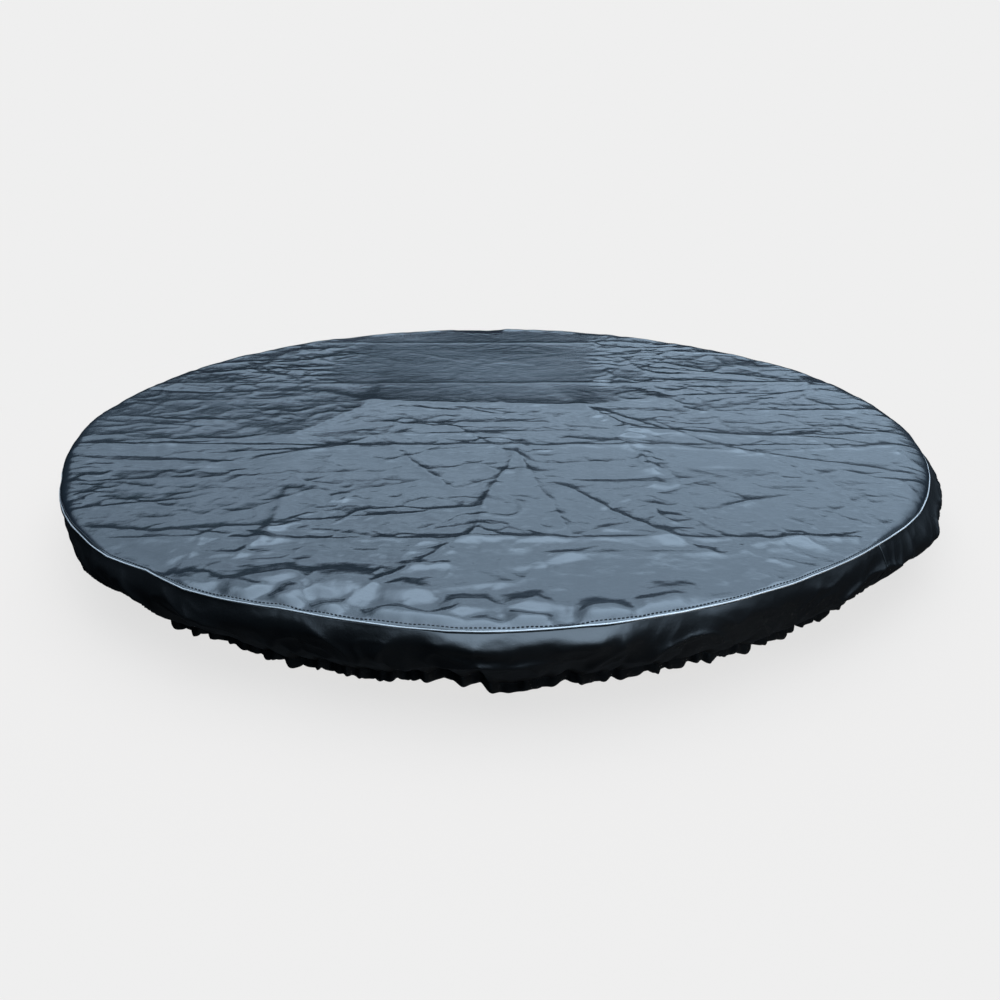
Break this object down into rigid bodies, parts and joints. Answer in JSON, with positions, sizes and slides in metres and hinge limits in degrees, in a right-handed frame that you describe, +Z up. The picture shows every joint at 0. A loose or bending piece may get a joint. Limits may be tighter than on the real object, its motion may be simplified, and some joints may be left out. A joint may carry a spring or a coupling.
{
  "type": "round inflatable spa cover",
  "caption": "Round padded spa cover: coated-cloth jacket with a piped rim and an elastic gathered skirt, zipped over a flat air bladder.",
  "frame": {"origin": "on the plane of the hem's lower edge, under the middle of the round top", "axes": "+Z up through the middle of the round top, -Y towards the front of the cover, +X to its right"},
  "size_m": [1.8, 1.7996, 0.15],
  "materials": {
    "cover_cloth": "satin",
    "skirt_cloth": "satin",
    "piping": "satin",
    "foil_liner": "satin",
    "elastic": "matte",
    "zip_tape": "matte",
    "zip_teeth": "satin",
    "zip_metal": "gloss",
    "bladder_film": "satin",
    "valve_plastic": "gloss",
    "valve_rubber": "matte"
  },
  "bodies": {
    "jacket": {"top_panel": "cover_cloth", "rim_welt": "piping", "skirt_front": "skirt_cloth", "skirt_right": "skirt_cloth", "skirt_back": "skirt_cloth", "skirt_left": "skirt_cloth", "skirt_seam_tapes": "skirt_cloth", "hem_casing": "skirt_cloth", "hem_elastic": "elastic", "liner_panel": "foil_liner", "zip_tape_outer": "zip_tape", "zip_tape_inner": "zip_tape", "zip_teeth_outer": "zip_teeth", "zip_teeth_inner": "zip_teeth", "zip_stops": "zip_teeth", "bladder_top": "bladder_film", "bladder_bottom": "bladder_film", "bladder_side": "bladder_film", "bladder_beam_1": "bladder_film", "bladder_beam_2": "bladder_film", "bladder_beam_3": "bladder_film", "bladder_beam_4": "bladder_film", "bladder_beam_5": "bladder_film", "bladder_beam_6": "bladder_film", "valve_base": "valve_plastic"},
    "zip_slider": {"zip_slider": "zip_metal"},
    "zip_pull": {"zip_pull": "zip_metal"},
    "valve_insert": {"valve_insert": "valve_plastic", "valve_flap": "valve_rubber"},
    "valve_cap": {"valve_cap": "valve_plastic"}
  },
  "joints": [
    {"name": "zip_run", "type": "hinge", "parent": "jacket", "child": "zip_slider", "pos_m": [0, 0, 0.0594], "axis": [0, 0, 1], "range_deg": [0, 150]},
    {"name": "pull_swing", "type": "hinge", "parent": "zip_slider", "child": "zip_pull", "pos_m": [0.78, 0, 0.0533], "axis": [1, 0, 0], "range_deg": [-80, 80]},
    {"name": "insert_turn", "type": "hinge", "parent": "jacket", "child": "valve_insert", "pos_m": [0, 0.7, 0.06], "axis": [0, 0, -1], "range_deg": [0, 720]},
    {"name": "cap_pull", "type": "slide", "parent": "valve_insert", "child": "valve_cap", "axis": [0, 0, -1], "range_m": [0, 0.03]}
  ]
}
